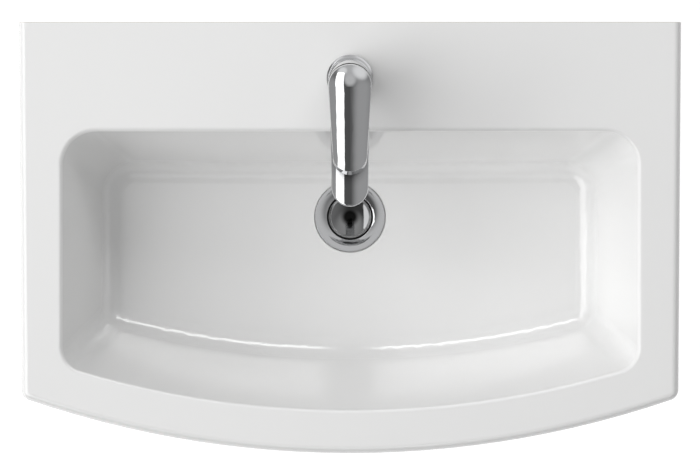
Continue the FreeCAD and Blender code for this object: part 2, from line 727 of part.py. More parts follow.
def make_basin():
    bowl = bowl_hollow()
    shell = bowl_shell()
    casing = overflow_form("overflow_casing", dim.duct_wall)
    way = overflow_form("overflow_way", 0)
    body = new_piece("basin")
    under_deck = DECK - dim.deck_thickness

    plan = new_sketch(body, "deck_plan", "XY_Plane", DECK)
    deck_outline(plan, as_size(0), as_size(0), None, dim.corner_radius)
    pad(body, plan, dim.apron_height, backward=True)
    soften(body, "Fillet", dim.edge_radius, on_open_top_edge)

    hollow = new_sketch(body, "under_plan", "XY_Plane", under_deck)
    round_inside = dim.corner_radius
    deck_outline(hollow, dim.apron_wall, -dim.rear_wall, round_inside, round_inside)
    pocket(body, hollow, dim.apron_height)

    half = dim.bracket_width / 2
    inside = half - dim.bracket_web
    reach = wall_at(DECK - dim.bracket_drop)
    bracket = new_sketch(body, "bracket_plan", "XY_Plane", under_deck)
    outline(bracket, [(-half, reach), (-inside, reach), (-inside, -dim.rear_wall), (inside, -dim.rear_wall),
                      (inside, reach), (half, reach), (half, 0), (-half, 0)])
    pad(body, bracket, dim.bracket_drop - dim.deck_thickness, backward=True)

    combine(body, "Fuse", [shell, waste_boss(), casing])
    combine(body, "Cut", [bowl, waste_hollow(), way])
    soften(body, "Fillet", dim.rim_round, on_bowl_rim)

    tap_hole = circle(new_sketch(body, "tap_hole_plan", "XY_Plane", DECK), dim.tap_hole / 2, 0, TAP_Y)
    pocket(body, tap_hole, dim.deck_thickness)

    fixings = new_sketch(body, "fixing_holes", "XZ_Plane")
    for side in (-1, 1):
        circle(fixings, dim.fixing_hole / 2, side * dim.fixing_spacing / 2, 0)
    pocket(body, fixings, dim.rear_wall, backward=True)

    level = DECK - dim.overflow_drop
    mouth = new_sketch(body, "overflow_mouth", "XZ_Plane", -wall_at(level), level, -dim.rear_lean)
    circle(mouth, dim.overflow_hole / 2)
    pocket(body, mouth, dim.bowl_wall + dim.duct_depth / 2)


def on_open_top_edge(shape, edge):
    """The deck's outer edge, but for the rear, which stands flat on the wall."""
    ends = [vertex.Point for vertex in edge.Vertexes]
    level = all(abs(point.z - DECK.value) < 1e-4 for point in ends)
    return level and not all(abs(point.y) < 1e-4 for point in ends)


def on_bowl_rim(shape, edge):
    spot = middle(edge)
    outside = dim.edge_radius.value + dim.side_ledge.value / 4
    clear = abs(spot.x) < dim.basin_width.value / 2 - outside and spot.y > outside - dim.basin_depth.value
    return abs(spot.z - DECK.value) < 1e-4 and clear and spot.y < -dim.rear_wall.value


def make_overflow_ring():
    level = DECK - dim.overflow_drop
    outer = dim.overflow_hole / 2 - dim.fit_gap
    inner = outer - dim.ring_wall
    lip = outer + dim.ring_lip
    body = new_piece("overflow_ring")
    crown = dim.ring_lip_height
    revolve(body, "overflow_ring_section", [
        (inner, -dim.ring_sleeve), (outer, -dim.ring_sleeve), (outer, 0), (lip, 0),
        (lip - crown, crown), (inner, crown)])
    place(body, wall_at(level), level, 90 - dim.rear_lean)


# Waste and push plug

def at_waste(body):
    place(body, WASTE_Y, FLOOR)


NUT_BOTTOM = (BOSS_BOTTOM - dim.lower_seal_height - dim.washer_height - dim.nut_height) - FLOOR
TAIL = NUT_BOTTOM - dim.tail_length
DISH_TOP = FLANGE_UNDER + dim.flange_edge - dim.flange_dip - FLOOR
DISH_BOTTOM = DISH_TOP - dim.dish_fall
DISH_SLOPE = dim.dish_fall / (dim.dish_rim - dim.dish_inner)
PLUG_UNDER = DISH_BOTTOM + (dim.plug_radius - dim.dish_inner) * DISH_SLOPE + dim.plug_clearance
PLUNGER_TOP = PLUG_UNDER - dim.plug_boss_height
PLUNGER_END = PLUNGER_TOP - dim.plunger_length
HOUSING_TOP = PLUNGER_TOP - dim.housing_top_gap
SPRING_END = PLUNGER_END - dim.spring_length
HOUSING_END = SPRING_END - dim.housing_floor


def make_waste_body():
    body = new_piece("waste_body")
    under = FLANGE_UNDER - FLOOR
    groove = dim.tube_radius - dim.runout_depth
    throat = dim.waste_hole / 2 + dim.seat_cone - dim.recess_gap
    cone = (throat - dim.tube_radius) * dim.seat_cone_depth / dim.seat_cone
    revolve(body, "waste_section", [
        (dim.tube_bore, TAIL), (dim.tube_radius, TAIL), (dim.tube_radius, NUT_BOTTOM - dim.runout_width),
        (groove, NUT_BOTTOM - dim.runout_width), (groove, NUT_BOTTOM), (dim.tube_radius, NUT_BOTTOM),
        (dim.tube_radius, under - cone),
        (throat, under), (dim.flange_radius, under), (dim.flange_radius, under + dim.flange_edge),
        (dim.dish_rim, DISH_TOP), (dim.dish_inner, DISH_BOTTOM),
        (dim.tube_bore, DISH_BOTTOM - dim.recess_gap)], {9: dim.flange_crown})

    slot_top = CHAMBER_TOP - FLOOR - dim.slot_margin
    slot_bottom = CHAMBER_BOTTOM - FLOOR + dim.slot_margin
    half = dim.slot_width / 2
    for plane in ("XZ_Plane", "YZ_Plane"):
        slot = new_sketch(body, "slot_" + plane[:2].lower(), plane)
        rectangle(slot, -half, slot_bottom, half, slot_top)
        pocket(body, slot, 4 * dim.tube_radius, both=True)

    hub_bottom = -dim.hub_drop - dim.hub_height
    bars = new_sketch(body, "cross_bars", "XY_Plane", hub_bottom)
    reach = (dim.tube_radius + dim.tube_bore) / 2
    half = dim.bar_width / 2
    outline(bars, [
        (half, -reach), (half, -half), (reach, -half), (reach, half), (half, half), (half, reach),
        (-half, reach), (-half, half), (-reach, half), (-reach, -half), (-half, -half), (-half, -reach)])
    pad(body, bars, dim.hub_height)
    pad(body, circle(new_sketch(body, "hub", "XY_Plane", hub_bottom), dim.hub_radius), dim.hub_height)
    bore = new_sketch(body, "hub_bore", "XY_Plane", -dim.hub_drop)
    circle(bore, dim.housing_radius + dim.thread_gap)
    pocket(body, bore, dim.hub_height)
    at_waste(body)


def make_waste_fixing():
    low = BOSS_BOTTOM - FLOOR
    clear = dim.tube_radius + dim.thread_gap
    throat = dim.waste_hole / 2 + dim.seat_cone + dim.fit_gap
    rim = dim.flange_radius - dim.recess_gap
    at_waste(ring("waste_top_seal", throat, rim, SEAT - FLOOR, FLANGE_UNDER - FLOOR))

    seal_bottom = low - dim.lower_seal_height
    seal = new_piece("waste_lower_seal")
    revolve(seal, "lower_seal_section", [
        (clear, seal_bottom), (dim.lower_seal_radius - dim.lower_seal_height / 3, seal_bottom),
        (dim.lower_seal_radius, low), (clear, low)])
    at_waste(seal)

    washer_bottom = seal_bottom - dim.washer_height
    at_waste(ring("waste_washer", clear, dim.lower_seal_radius, washer_bottom, seal_bottom))

    nut = new_piece("waste_nut")
    pad(nut, hexagon(new_sketch(nut, "nut_plan", "XY_Plane", NUT_BOTTOM), dim.nut_flats), dim.nut_height)
    pocket(nut, circle(new_sketch(nut, "nut_bore", "XY_Plane", washer_bottom), clear), dim.nut_height)
    at_waste(nut)


def make_plug():
    cap = new_piece("plug_cap")
    top = PLUG_UNDER + dim.plug_edge
    bead = dim.plug_edge / 2
    rim = dim.plug_radius - bead
    bowl = (rim * rim + dim.plug_dish * dim.plug_dish) / (2 * dim.plug_dish)
    socket = dim.plunger_stub + dim.fit_gap
    revolve(cap, "cap_section", [
        (socket, PLUNGER_TOP), (dim.plug_boss_radius, PLUNGER_TOP), (dim.plug_boss_radius, PLUG_UNDER),
        (rim, PLUG_UNDER), (dim.plug_radius, PLUG_UNDER + bead), (rim, top), (0, top - dim.plug_dish),
        (0, PLUNGER_TOP + dim.stub_length), (socket, PLUNGER_TOP + dim.stub_length)], {5: -bowl})
    at_waste(cap)

    seal = new_piece("plug_seal")
    outer = dim.plug_radius - bead
    inner = outer - dim.plug_seal_width
    low = PLUG_UNDER - dim.plug_seal_height
    revolve(seal, "plug_seal_section", [
        (inner, low), (outer - dim.fit_gap, low), (outer, PLUG_UNDER), (inner, PLUG_UNDER)])
    at_waste(seal)

    plunger = new_piece("plug_plunger")
    revolve(plunger, "plunger_section", [
        (0, PLUNGER_END), (dim.plunger_radius, PLUNGER_END), (dim.plunger_radius, PLUNGER_TOP),
        (dim.plunger_stub, PLUNGER_TOP), (dim.plunger_stub, PLUNGER_TOP + dim.stub_length - dim.fit_gap),
        (0, PLUNGER_TOP + dim.stub_length - dim.fit_gap)])
    at_waste(plunger)


def make_click_catch():
    bore = dim.plunger_radius + dim.slide_gap
    housing = new_piece("click_housing")
    revolve(housing, "click_housing_section", [
        (0, HOUSING_END), (dim.housing_radius, HOUSING_END), (dim.housing_radius, HOUSING_TOP),
        (bore, HOUSING_TOP), (bore, SPRING_END), (0, SPRING_END)])
    at_waste(housing)
    outer = bore - dim.spring_gap
    at_waste(ring("click_spring", outer - dim.spring_wire, outer, SPRING_END, PLUNGER_END))


# Tap: fixed pieces

def level_at(height, y):
    """Where a level plane at a height above the deck meets the leaning body, y from the barrel's axis."""
    return height / cosine(dim.tap_lean) - y * tangent(dim.tap_lean) - dim.pivot_height


def spout_form():
    """The spout: an oval plan, an arched top that follows the lever and a level underside."""
    body = new_body("spout_form")
    top = -dim.barrel_drop
    width = dim.spout_tip
    tip = dim.nose_radius
    nose = dim.spout_nose - tip
    swing = (width * width + nose * nose - tip * tip) / (2 * (width - tip))
    start = dim.spout_nose - dim.spout_reach
    span = swing - tip
    across = (swing - width) / span * tip
    forward = nose + nose / span * tip
    plan = new_sketch(body, "spout_plan", "XY_Plane", top)
    outline(plan, [
        (dim.spout_root, 0), (-dim.spout_root, 0), (-width, start), (-across, start - forward),
        (0, -dim.spout_reach), (across, start - forward), (width, start)],
        {2: swing, 3: tip, 4: tip, 5: swing})
    pad(body, plan, dim.pivot_height, backward=True)

    low = -2 * dim.pivot_height
    under = new_sketch(body, "spout_underside", "YZ_Plane")
    back = dim.spout_root
    front = -2 * dim.spout_reach
    outline(under, [(back, low), (back, level_at(SPOUT_UNDER, back)), (front, level_at(SPOUT_UNDER, front)),
                    (front, low)])
    pocket(body, under, 4 * dim.spout_root, both=True)
    soften(body, "Chamfer", dim.spout_belly, on_spout_underside)

    crown = new_sketch(body, "spout_arch", "XZ_Plane", -dim.spout_root)
    wide = 2 * dim.spout_crown
    arch = top - dim.spout_step
    springing = arch - dim.spout_crown
    outline(crown, [
        (dim.spout_crown, springing), (wide, springing), (wide, top + dim.spout_crown),
        (-wide, top + dim.spout_crown), (-wide, springing), (-dim.spout_crown, springing), (0, arch)],
        {5: -dim.spout_crown, 6: -dim.spout_crown})
    pocket(body, crown, 2 * dim.spout_reach, backward=True)
    soften(body, "Fillet", dim.spout_edge, on_spout_crest)
    return body


def on_spout_underside(shape, edge):
    """The lower edges along the spout and round its end, but not across its root."""
    ends = [vertex.Point for vertex in edge.Vertexes]
    low = all(abs(point.z - level_at(SPOUT_UNDER, as_size(point.y)).value) < 1e-3 for point in ends)
    return low and not all(abs(point.y) < 1e-3 for point in ends)


def on_spout_crest(shape, edge):
    """Where the arched top meets the sides and the rounded end."""
    sides = shape.ancestorsOfType(edge, Part.Face)
    arched = [side for side in sides if is_arch(side)]
    return len(sides) == 2 and len(arched) == 1 and middle(edge).y < -1


def is_arch(face):
    surface = face.Surface
    return isinstance(surface, Part.Cylinder) and abs(surface.Axis.y) > 0.9


def make_tap_body():
    spout = spout_form()
    body = new_piece("tap_body")
    top = -dim.barrel_drop
    deep = -dim.pivot_height - dim.barrel_radius
    revolve(body, "barrel_section", [
        (0, deep), (dim.barrel_radius, deep), (dim.barrel_radius, top), (0, top)])
    combine(body, "Fuse", [spout])
    foot = upright_sketch(body, "foot_plane", BASE_TOP)
    wide = 4 * dim.barrel_radius
    rectangle(foot, -wide, -wide, wide, wide)
    pocket(body, foot, wide)
    spigot = circle(upright_sketch(body, "spigot", BASE_TOP), dim.spigot_radius)
    pad(body, spigot, BASE_TOP + dim.spigot_drop, backward=True)

    seat = -GASKET_BOTTOM
    revolve(body, "cartridge_bore", [
        (0, -seat), (dim.bore_radius, -seat), (dim.bore_radius, -dim.shoulder_drop),
        (dim.thread_radius, -dim.shoulder_drop), (dim.thread_radius, top), (0, top)], kind="Groove")

    ports = two_ports(new_sketch(body, "supply_ways", "XY_Plane", -seat))
    pocket(body, ports, dim.pivot_height - seat - dim.spigot_drop)

    water_level = level_at(SPOUT_UNDER + dim.water_rise, 0)
    way = new_sketch(body, "spout_way", "XZ_Plane", 0, water_level, -dim.tap_lean)
    circle(way, dim.water_bore)
    pocket(body, way, AERATOR_REACH - dim.aerator_radius / 2, backward=True)

    recess = circle(upright_sketch(body, "aerator_recess", SPOUT_UNDER),
                    dim.aerator_radius + dim.thread_gap, 0, -AERATOR_REACH)
    pocket(body, recess, dim.aerator_height + dim.aerator_seal_height, backward=True)
    inner = dim.aerator_radius - dim.aerator_seal_width
    chamber = circle(upright_sketch(body, "aerator_chamber", SPOUT_UNDER), inner, 0, -AERATOR_REACH)
    pocket(body, chamber, dim.water_rise + dim.water_bore + dim.aerator_room, backward=True)

    sockets = upright_sketch(body, "hose_sockets", -dim.spigot_drop)
    for side in (-1, 1):
        circle(sockets, dim.inlet_radius, side * dim.inlet_spread, dim.inlet_back)
    pocket(body, sockets, dim.inlet_depth, backward=True)
    stud = circle(upright_sketch(body, "stud_hole", -dim.spigot_drop), dim.stud_radius + dim.thread_gap,
                  0, -dim.stud_forward)
    pocket(body, stud, dim.stud_hold, backward=True)
    place_at_pivot(body)


def on_deck(body):
    place(body, TAP_Y, DECK)


def make_base_ring():
    inner = dim.spigot_radius + dim.fit_gap
    bottom = dim.base_seal_height
    body = new_piece("base_ring")
    revolve(body, "base_ring_section", [
        (inner, bottom), (dim.ring_radius, bottom), (dim.ring_radius, BASE_TOP - dim.ring_fall),
        (dim.ring_radius - dim.ring_bevel, BASE_TOP), (inner, BASE_TOP)])
    on_deck(body)
    outer = dim.ring_radius - dim.fit_gap
    on_deck(ring("base_seal", outer - dim.base_seal_width, outer, 0, dim.base_seal_height))


def make_clamp():
    """The stud with its horseshoe rubber, steel plate and long nut, which hold the tap from below."""
    level = -dim.deck_thickness
    layers = (("clamp_rubber", dim.rubber_height), ("clamp_plate", dim.plate_height))
    for label, height in layers:
        body = new_piece(label)
        plan = new_sketch(body, label + "_plan", "XY_Plane", level)
        circle(plan, dim.clamp_radius)
        circle(plan, dim.stud_radius + dim.fit_gap, 0, -dim.stud_forward)
        pad(body, plan, height, backward=True)
        half = dim.clamp_slot / 2
        slot = new_sketch(body, label + "_slot", "XY_Plane", level)
        rectangle(slot, -half, -dim.slot_front, half, 2 * dim.clamp_radius)
        pocket(body, slot, height)
        on_deck(body)
        level = level - height

    nut = new_piece("clamp_nut")
    plan = new_sketch(nut, "clamp_nut_plan", "XY_Plane", level)
    hexagon(plan, dim.clamp_nut_flats, 0, -dim.stud_forward)
    pad(nut, plan, dim.clamp_nut_height, backward=True)
    bore = circle(new_sketch(nut, "clamp_nut_bore", "XY_Plane", level), dim.stud_radius + dim.thread_gap,
                  0, -dim.stud_forward)
    pocket(nut, bore, dim.clamp_nut_height)
    on_deck(nut)

    stud = new_piece("fixing_stud")
    top = dim.stud_hold - dim.spigot_drop
    plan = circle(new_sketch(stud, "stud_plan", "XY_Plane", top), dim.stud_radius, 0, -dim.stud_forward)
    pad(stud, plan, top - level + dim.clamp_nut_height + dim.stud_tail, backward=True)
    on_deck(stud)


def make_aerator():
    bottom = SPOUT_UNDER - dim.lip_height
    top = SPOUT_UNDER + dim.aerator_height
    inner = dim.aerator_radius - dim.aerator_wall
    ledge = inner - dim.aerator_ledge
    lip = dim.aerator_radius + dim.aerator_lip
    housing = new_piece("aerator_housing")
    revolve(housing, "aerator_section", [
        (ledge, bottom), (lip, bottom), (lip, SPOUT_UNDER), (dim.aerator_radius, SPOUT_UNDER),
        (dim.aerator_radius, top), (inner, top), (inner, SPOUT_UNDER), (ledge, SPOUT_UNDER)])

    insert = new_piece("aerator_insert")
    plan = new_sketch(insert, "insert_plan", "XY_Plane", SPOUT_UNDER)
    circle(plan, inner - dim.fit_gap)
    for across, along in honeycomb(2):
        circle(plan, dim.cell_radius, across * dim.cell_pitch, along * dim.cell_pitch)
    pad(insert, plan, dim.insert_height)

    seal = ring("aerator_seal", dim.aerator_radius - dim.aerator_seal_width, dim.aerator_radius, top,
                top + dim.aerator_seal_height)
    for body in (housing, insert, seal):
        place(body, TAP_Y - AERATOR_REACH, DECK)


def honeycomb(rings):
    """Middles of a hexagonal pattern of cells, in pitches."""
    cells = []
    for row in range(-rings, rings + 1):
        count = 2 * rings + 1 - abs(row)
        for column in range(count):
            cells.append((column - (count - 1) / 2, row * math.sqrt(3) / 2))
    return cells


# Tap: cartridge, from the pivot downwards

SHELL_ROOF = -dim.shoulder_drop - dim.shell_roof
ROTOR_TOP = SHELL_ROOF - dim.run_gap
ROTOR_BOTTOM = ROTOR_TOP - dim.rotor_flange
CARRIER_TOP = ROTOR_BOTTOM - dim.run_gap
DISC_TOP = CARRIER_TOP - dim.carrier_height
FIXED_TOP = DISC_TOP - dim.moving_height
BASE_START = FIXED_TOP - dim.fixed_height
GASKET_TOP = BASE_START - dim.base_height
GASKET_BOTTOM = GASKET_TOP - dim.gasket_height
SHELL_BORE = dim.shell_radius - dim.shell_wall
DISC_REST = dim.stem_arm * sine(dim.stem_lean)


def two_ports(sketch):
    for side in (-1, 1):
        circle(sketch, dim.port_radius, side * dim.port_spread, dim.port_back)
    return sketch


def make_cartridge_base():
    gasket = new_piece("cartridge_seal")
    plan = new_sketch(gasket, "gasket_plan", "XY_Plane", GASKET_BOTTOM)
    circle(plan, SHELL_BORE)
    two_ports(plan)
    pad(gasket, plan, dim.gasket_height)
    place_at_pivot(gasket)

    base = new_piece("cartridge_base")
    plan = new_sketch(base, "base_plan", "XY_Plane", GASKET_TOP)
    circle(plan, dim.shell_radius)
    two_ports(plan)
    pad(base, plan, dim.base_height)
    outlet = new_sketch(base, "outlet_plan", "XY_Plane", BASE_START)
    circle(outlet, dim.outlet_radius, 0, -dim.outlet_forward)
    pocket(base, outlet, 2 * dim.base_height / 3)
    side_way = new_sketch(base, "outlet_side", "XY_Plane", BASE_START - dim.base_height / 3)
    rectangle(side_way, -dim.outlet_radius, -2 * dim.shell_radius, dim.outlet_radius, -dim.outlet_forward)
    pocket(base, side_way, dim.base_height / 3)
    place_at_pivot(base)


def make_discs():
    fixed = new_piece("fixed_disc")
    plan = new_sketch(fixed, "fixed_plan", "XY_Plane", BASE_START)
    circle(plan, dim.fixed_radius)
    two_ports(plan)
    circle(plan, dim.outlet_radius, 0, -dim.outlet_forward)
    pad(fixed, plan, dim.fixed_height)
    place_at_pivot(fixed)

    moving = new_piece("moving_disc")
    plan = circle(new_sketch(moving, "moving_plan", "XY_Plane", FIXED_TOP), dim.disc_radius, 0, DISC_REST)
    pad(moving, plan, dim.moving_height)
    mix = circle(new_sketch(moving, "mix_plan", "XY_Plane", FIXED_TOP), dim.mix_radius, 0, DISC_REST)
    pocket(moving, mix, dim.mix_depth, backward=True)
    place_at_pivot(moving)

    carrier = new_piece("disc_carrier")
    plan = new_sketch(carrier, "carrier_plan", "XY_Plane", DISC_TOP)
    circle(plan, dim.disc_radius, 0, DISC_REST)
    circle(plan, dim.ball_radius + dim.socket_gap, 0, DISC_REST)
    pad(carrier, plan, dim.carrier_height)
    place_at_pivot(carrier)


def make_cartridge_shell():
    shell = new_piece("cartridge_housing")
    neck = dim.rotor_radius + dim.fit_gap
    shoulder = -dim.shoulder_drop
    revolve(shell, "shell_section", [
        (SHELL_BORE, BASE_START), (dim.shell_radius, BASE_START), (dim.shell_radius, shoulder),
        (dim.neck_radius, shoulder), (dim.neck_radius, dim.neck_rise), (neck, dim.neck_rise),
        (neck, SHELL_ROOF), (SHELL_BORE, SHELL_ROOF)])
    place_at_pivot(shell)

    nut = new_piece("cartridge_nut")
    top = shoulder + dim.nut_rise
    inner = dim.neck_radius + dim.fit_gap
    outer = dim.thread_radius - dim.thread_gap
    revolve(nut, "cartridge_nut_section", [
        (inner, shoulder), (outer, shoulder), (outer, top), (inner, top)])
    half = dim.notch_width / 2
    for plane in ("XZ_Plane", "YZ_Plane"):
        notch = new_sketch(nut, "notch_" + plane[:2].lower(), plane)
        rectangle(notch, -half, top - dim.notch_depth, half, top + dim.notch_depth)
        pocket(nut, notch, 4 * outer, both=True)
    place_at_pivot(nut)

    dome = new_piece("cover_dome")
    foot = -dim.barrel_drop
    crest = leg(dim.dome_radius, dim.dome_rise)
    inside = crest - dim.dome_wall
    revolve(dome, "dome_section", [
        (inside, top), (leg(dim.dome_radius, foot), top), (leg(dim.dome_radius, foot), foot),
        (crest, dim.dome_rise), (inside, dim.dome_rise)], {2: dim.dome_radius})
    place_at_pivot(dome)


def swing_at(level, radius):
    """Half the room that the stem needs in the rotor's slot at a level below or above the pivot."""
    return radius / cosine(dim.stem_lean) + level * tangent(dim.stem_lean) + dim.swing_gap


def make_rotor():
    rotor = new_piece("cartridge_rotor")
    flange = SHELL_BORE - dim.fit_gap
    revolve(rotor, "rotor_section", [
        (0, ROTOR_BOTTOM), (flange, ROTOR_BOTTOM), (flange, ROTOR_TOP), (dim.rotor_radius, ROTOR_TOP),
        (dim.rotor_radius, dim.rotor_rise), (0, dim.rotor_rise)])
    waist = dim.stem_radius + dim.swing_gap
    upper = swing_at(dim.rotor_rise, dim.stem_radius)
    knee = swing_at(dim.shank_start, dim.stem_radius)
    lower = swing_at(-ROTOR_BOTTOM, dim.shank_radius)
    slot = new_sketch(rotor, "stem_slot", "YZ_Plane")
    outline(slot, [
        (upper, dim.rotor_rise), (-upper, dim.rotor_rise), (-waist, 0), (-knee, -dim.shank_start),
        (-lower, ROTOR_BOTTOM), (lower, ROTOR_BOTTOM), (knee, -dim.shank_start), (waist, 0)])
    pocket(rotor, slot, 2 * (dim.stem_radius + dim.fit_gap), both=True)
    hole = circle(new_sketch(rotor, "rotor_pin_hole", "YZ_Plane"), dim.pin_radius)
    pocket(rotor, hole, 4 * dim.rotor_radius, both=True)
    place_at_pivot(rotor)

    pivot = new_piece("pivot_pin")
    plan = circle(new_sketch(pivot, "pin_plan", "YZ_Plane"), dim.pin_radius)
    pad(pivot, plan, 2 * (dim.rotor_radius - dim.fit_gap), both=True)
    place_at_pivot(pivot)


def make_stem():
    stem = new_piece("lever_stem")
    neck = leg(dim.ball_radius, dim.shank_radius) - dim.stem_arm
    ball = -dim.stem_arm
    revolve(stem, "stem_section", [
        (0, ball - dim.ball_radius), (dim.ball_radius, ball), (dim.shank_radius, neck),
        (dim.shank_radius, -dim.shank_start), (dim.stem_radius, -dim.shank_start),
        (dim.stem_radius, dim.square_start), (0, dim.square_start)],
        {0: dim.ball_radius, 1: dim.ball_radius})
    half = dim.stem_square / 2
    square = new_sketch(stem, "stem_square_plan", "XY_Plane", dim.square_start)
    rectangle(square, -half, -half, half, half)
    pad(stem, square, dim.stem_top - dim.square_start)
    hole = circle(new_sketch(stem, "stem_pin_hole", "YZ_Plane"), dim.pin_radius + dim.pin_gap)
    pocket(stem, hole, 4 * dim.stem_radius, both=True)
    place_at_pivot(stem, dim.stem_lean)


# Tap: lever

def stem_sketch(body, name, along):
    """A sketch across the stem at a distance from the pivot, in a body that stands with the barrel."""
    up = along * cosine(dim.stem_lean)
    back = -along * sine(dim.stem_lean)
    return new_sketch(body, name, "XY_Plane", up, back, dim.stem_lean)


def lever_plan(body, name, level, draw_in, lean_back):
    """The lever seen from above: a round rear, sides that draw in, a round front."""
    rear = dim.lever_radius - draw_in
    tip = dim.lever_tip_radius - draw_in
    tip_y = tip + lean_back - dim.lever_reach
    slope = (tip - rear) / tip_y
    across = leg(as_size(1), slope)
    sketch = new_sketch(body, name, "XY_Plane", level)
    return outline(sketch, [
        (rear * across, -rear * slope), (0, rear), (-rear * across, -rear * slope),
        (-tip * across, tip_y - tip * slope), (0, tip_y - tip), (tip * across, tip_y - tip * slope)],
        {0: rear, 1: rear, 3: tip, 4: tip})


def make_lever():
    lever = new_piece("lever")
    lower = lever_plan(lever, "lever_lower_plan", -dim.lever_drop, 0, 0)
    upper = lever_plan(lever, "lever_upper_plan", dim.lever_rise, dim.lever_draft, dim.lever_nose_draft)
    sides = lever.newObject("PartDesign::AdditiveLoft", "lever_sides")
    sides.Profile = lower
    sides.Sections = [upper]
    sides.Ruled = True

    rear = dim.lever_crown
    tip = dim.lever_tip_crown
    start = dim.lever_tip_radius + dim.lever_nose_draft - dim.lever_reach
    big = 2 * dim.lever_reach
    arch = new_sketch(lever, "lever_arch", "YZ_Plane", 0, dim.lever_rise - dim.lever_crown)
    far = rear + (rear - tip) / start * big
    outline(arch, [(rear, 0), (0, rear), (-big, far), (-big, big), (big, big), (big, 0)], {0: rear})
    turn_sketch(lever, arch, "H_Axis", "Groove")

    rear = dim.lever_rise - dim.lever_wall
    tip = dim.lever_tip_radius - dim.lever_draft - dim.lever_wall
    inside = outline(new_sketch(lever, "lever_inside", "YZ_Plane"),
                     [(rear, 0), (0, rear), (start, tip), (start, 0)], {0: rear})
    turn_sketch(lever, inside, "H_Axis", "Groove")

    hub = circle(stem_sketch(lever, "lever_hub", dim.hub_start), dim.hub_boss)
    pad(lever, hub, dim.hub_end - dim.hub_start)
    boss = screw_sketch(lever, "screw_boss_plan")
    pad(lever, circle(boss, dim.screw_boss, 0, dim.screw_rise), SCREW_END)
    half = dim.stem_square / 2 + dim.fit_gap
    socket = rectangle(stem_sketch(lever, "stem_socket", dim.hub_start), -half, -half, half, half)
    pocket(lever, socket, dim.stem_top + dim.fit_gap - dim.hub_start, backward=True)
    hole = circle(screw_sketch(lever, "screw_hole"), dim.screw_radius + dim.thread_gap, 0, dim.screw_rise)
    pocket(lever, hole, SCREW_END, backward=True)

    below = new_sketch(lever, "lever_underside", "YZ_Plane")
    back = 2 * dim.lever_radius
    rise = back * tangent(dim.lever_lift + dim.lever_spare)
    front = -dim.lever_reach
    tip_level = dim.lever_tip_lift - dim.lever_drop
    outline(below, [
        (back, -back), (back, rise - dim.lever_drop), (0, -dim.lever_drop),
        (-dim.lever_radius, -dim.lever_drop), (front, tip_level), (2 * front, tip_level), (2 * front, -back)])
    pocket(lever, below, 4 * dim.lever_radius, both=True)
    place_at_pivot(lever)


SCREW_END = dim.stem_square / 2 + dim.screw_length


def screw_sketch(body, name):
    """A sketch on the plane through the pivot that faces the front, square to the stem."""
    return new_sketch(body, name, "XZ_Plane", 0, 0, dim.stem_lean)


def make_lever_screw():
    screw = new_piece("lever_screw")
    start = dim.stem_square / 2
    revolve(screw, "screw_section", [
        (0, start), (dim.screw_radius, start), (dim.screw_radius, SCREW_END), (0, SCREW_END)])
    key = hexagon(new_sketch(screw, "screw_socket", "XY_Plane", SCREW_END), 2 * dim.screw_key)
    pocket(screw, key, dim.screw_key_depth)
    lean = dim.tap_lean + dim.stem_lean
    place(screw, PIVOT_Y - dim.screw_rise * sine(lean), PIVOT_Z + dim.screw_rise * cosine(lean), 90 + lean)


def check_and_export():
    doc.recompute()
    for item in doc.Objects:
        if "Invalid" in item.State or "Error" in item.State:
            raise RuntimeError("%s failed: %s" % (item.Label, item.getStatusString()))
    os.makedirs("parts", exist_ok=True)
    for body in pieces:
        if body.Shape.isNull() or not body.Shape.isValid():
            raise RuntimeError("%s has no valid shape" % body.Label)
        body.Shape.exportStep("parts/%s.step" % body.Label)
    print(len(pieces), "pieces")


def main():
    make_basin()
    make_overflow_ring()
    make_waste_body()
    make_waste_fixing()
    make_plug()
    make_click_catch()
    make_tap_body()
    make_base_ring()
    make_clamp()
    make_aerator()
    make_cartridge_base()
    make_discs()
    make_cartridge_shell()
    make_rotor()
    make_stem()
    make_lever()
    make_lever_screw()
    check_and_export()


main()
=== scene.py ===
import math

import bpy
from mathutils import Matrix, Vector


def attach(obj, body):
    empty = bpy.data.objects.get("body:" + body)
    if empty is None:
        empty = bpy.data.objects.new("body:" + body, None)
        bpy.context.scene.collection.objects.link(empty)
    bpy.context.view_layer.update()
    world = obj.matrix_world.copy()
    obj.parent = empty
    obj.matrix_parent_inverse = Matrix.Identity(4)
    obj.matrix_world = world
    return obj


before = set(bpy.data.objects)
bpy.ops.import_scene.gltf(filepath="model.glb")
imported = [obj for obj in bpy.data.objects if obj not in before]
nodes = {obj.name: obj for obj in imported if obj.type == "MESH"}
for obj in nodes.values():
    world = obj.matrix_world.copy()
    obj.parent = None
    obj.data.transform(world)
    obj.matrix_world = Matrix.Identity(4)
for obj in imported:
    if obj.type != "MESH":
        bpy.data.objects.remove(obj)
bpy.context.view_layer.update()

print("stage: frame loaded with", len(nodes), "nodes")


# Shader tools

def addNode(tree, kind, place, **settings):
    node = tree.nodes.new(kind)
    node.location = place
    for name, value in settings.items():
        setattr(node, name, value)
    return node


def newGroup(name, inputs, outputs):
    group = bpy.data.node_groups.new(name, "ShaderNodeTree")
    for label, kind, value in inputs:
        socket = group.interface.new_socket(name=label, in_out="INPUT", socket_type=kind)
        socket.default_value = value
    for label, kind in outputs:
        group.interface.new_socket(name=label, in_out="OUTPUT", socket_type=kind)
    source = addNode(group, "NodeGroupInput", (-700, 0))
    target = addNode(group, "NodeGroupOutput", (500, 0))
    return group, source, target


